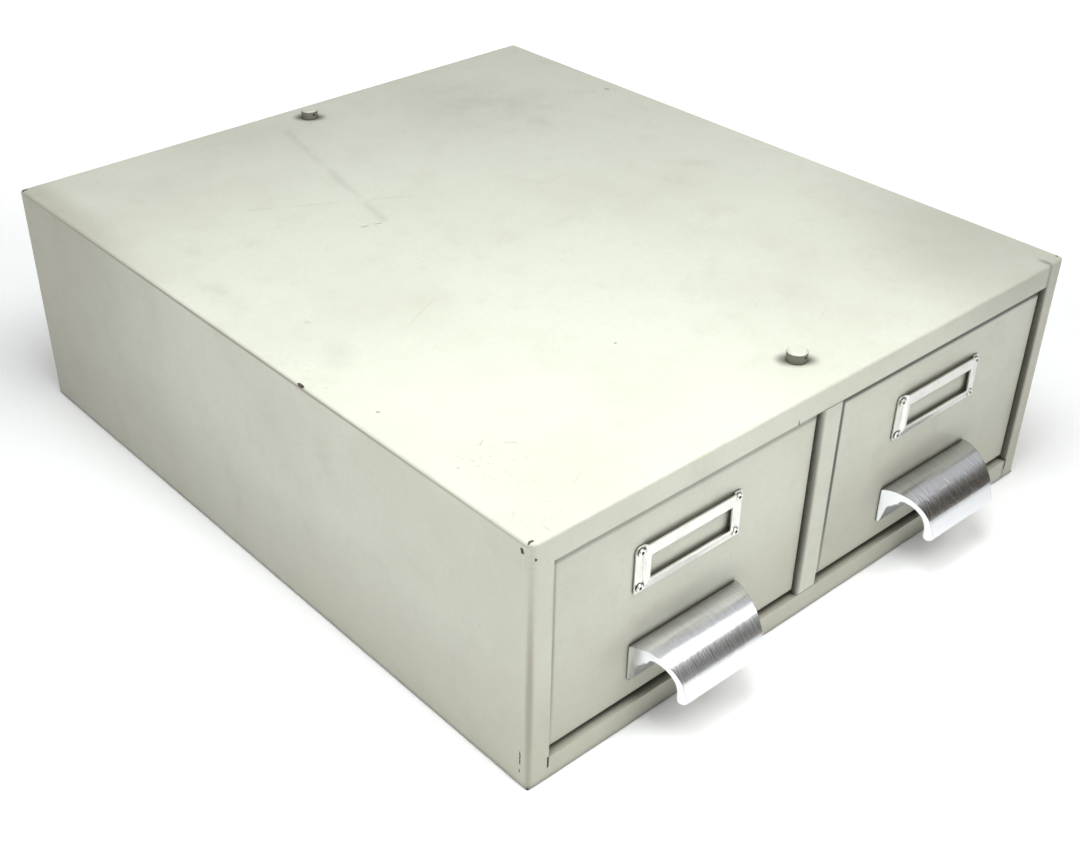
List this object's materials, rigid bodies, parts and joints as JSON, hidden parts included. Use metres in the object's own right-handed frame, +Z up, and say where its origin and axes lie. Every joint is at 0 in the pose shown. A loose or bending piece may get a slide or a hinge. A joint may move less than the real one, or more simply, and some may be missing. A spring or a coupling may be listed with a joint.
{
  "type": "card index cabinet",
  "caption": "Low painted-steel desktop cabinet with side-by-side drawers, curved aluminium pulls, riveted label frames and stacking studs on top.",
  "frame": {"origin": "underside of the cabinet, at the middle of its footprint without the pulls", "axes": "+Z up, drawers open towards -Y, +X to the right seen from the front"},
  "size_m": [0.3492, 0.431, 0.1323],
  "materials": {
    "paint": "semi-matt baked enamel, light grey-green, worn at the corners",
    "bare_steel": "zinc-plated or bare sheet steel, dull",
    "nickel": "bright nickel plate",
    "aluminium": "brushed across the length, lip polished"
  },
  "bodies": {
    "cabinet": {"shell": "paint", "base_panel": "paint", "back_panel": "paint", "centre_stile": "paint", "centre_runner": "bare_steel", "side_runner_left": "bare_steel", "side_runner_right": "bare_steel", "drawer_stop_left": "bare_steel", "drawer_stop_right": "bare_steel", "stud_front": "paint", "stud_rear": "paint", "stud_nut_front": "bare_steel", "stud_nut_rear": "bare_steel"},
    "drawer_left": {"drawer_left_front": "paint", "drawer_left_tray": "paint", "label_holder_left": "nickel", "label_rivet_left_1": "nickel", "label_rivet_left_2": "nickel", "label_rivet_left_3": "nickel", "label_rivet_left_4": "nickel", "pull_left": "aluminium", "pull_screw_left_1": "bare_steel", "pull_screw_left_2": "bare_steel", "follower_track_left": "bare_steel"},
    "follower_left": {"follower_left_plate": "paint", "follower_left_shoe": "bare_steel", "follower_left_rivet": "bare_steel"},
    "drawer_right": {"drawer_right_front": "paint", "drawer_right_tray": "paint", "label_holder_right": "nickel", "label_rivet_right_1": "nickel", "label_rivet_right_2": "nickel", "label_rivet_right_3": "nickel", "label_rivet_right_4": "nickel", "pull_right": "aluminium", "pull_screw_right_1": "bare_steel", "pull_screw_right_2": "bare_steel", "follower_track_right": "bare_steel"},
    "follower_right": {"follower_right_plate": "paint", "follower_right_shoe": "bare_steel", "follower_right_rivet": "bare_steel"}
  },
  "joints": [
    {"name": "drawer_left_slide", "type": "slide", "parent": "cabinet", "child": "drawer_left", "axis": [0, -1, 0], "range_m": [0, 0.34]},
    {"name": "follower_left_slide", "type": "slide", "parent": "drawer_left", "child": "follower_left", "axis": [0, -1, 0], "range_m": [-0.017, 0.3]},
    {"name": "drawer_right_slide", "type": "slide", "parent": "cabinet", "child": "drawer_right", "axis": [0, -1, 0], "range_m": [0, 0.34]},
    {"name": "follower_right_slide", "type": "slide", "parent": "drawer_right", "child": "follower_right", "axis": [0, -1, 0], "range_m": [-0.017, 0.3]}
  ]
}
